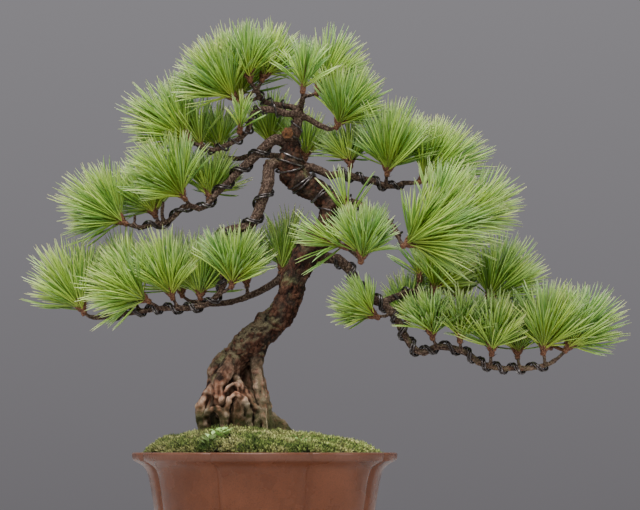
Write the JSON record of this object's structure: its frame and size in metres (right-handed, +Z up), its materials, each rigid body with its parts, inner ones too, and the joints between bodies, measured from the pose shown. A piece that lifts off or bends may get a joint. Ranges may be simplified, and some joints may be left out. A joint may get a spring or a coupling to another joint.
{
  "type": "bonsai tree in a pot",
  "caption": "Wired pine bonsai with bare gnarled roots and needle tufts, planted in moss-topped soil in a round lobed clay pot.",
  "frame": {"origin": "bottom centre of the bounding box, on the plane of the pot's feet; the pot's own axis stands 59.3 mm to the -X side of it", "axes": "+Z up the tree; +X to the right of the front view, the way the long lower branch reaches; -Y towards the front"},
  "size_m": [0.5596, 0.25, 0.5087],
  "materials": {
    "clay": "satin",
    "bark": "matte",
    "needles": "satin",
    "moss": "matte",
    "soil": "matte",
    "training_wire": "satin",
    "netting": "matte",
    "clip_wire": "satin"
  },
  "bodies": {
    "root": {"pot": "clay", "drainage_mesh_left": "netting", "drainage_mesh_right": "netting", "mesh_clip_left": "clip_wire", "mesh_clip_right": "clip_wire", "soil": "soil", "moss_carpet": "moss", "trunk_and_branches": "bark", "needles_back_left_1": "needles", "needles_back_left_2": "needles", "needles_back_left_3": "needles", "needles_back_upper_1": "needles", "needles_back_upper_2": "needles", "needles_crown_1": "needles", "needles_crown_2": "needles", "needles_crown_3": "needles", "needles_crown_4": "needles", "needles_crown_5": "needles", "needles_crown_6": "needles", "needles_crown_7": "needles", "needles_lower_left_1": "needles", "needles_lower_left_2": "needles", "needles_lower_left_3": "needles", "needles_lower_left_4": "needles", "needles_lower_left_5": "needles", "needles_lower_left_6": "needles", "needles_lower_right_1": "needles", "needles_lower_right_10": "needles", "needles_lower_right_11": "needles", "needles_lower_right_12": "needles", "needles_lower_right_2": "needles", "needles_lower_right_3": "needles", "needles_lower_right_4": "needles", "needles_lower_right_5": "needles", "needles_lower_right_6": "needles", "needles_lower_right_7": "needles", "needles_lower_right_8": "needles", "needles_lower_right_9": "needles", "needles_middle_left_1": "needles", "needles_middle_left_2": "needles", "needles_middle_left_3": "needles", "needles_middle_left_4": "needles", "needles_middle_right_1": "needles", "needles_middle_right_2": "needles", "needles_middle_right_3": "needles", "needles_middle_right_4": "needles", "needles_upper_left_1": "needles", "needles_upper_left_2": "needles", "needles_upper_left_3": "needles", "needles_upper_right_1": "needles", "needles_upper_right_2": "needles", "needles_upper_right_3": "needles", "wire_crown_left": "training_wire", "wire_left_lower": "training_wire", "wire_left_middle": "training_wire", "wire_left_upper": "training_wire", "wire_right_inner": "training_wire", "wire_right_lower": "training_wire", "wire_right_middle": "training_wire", "wire_right_upper": "training_wire"}
  },
  "joints": []
}
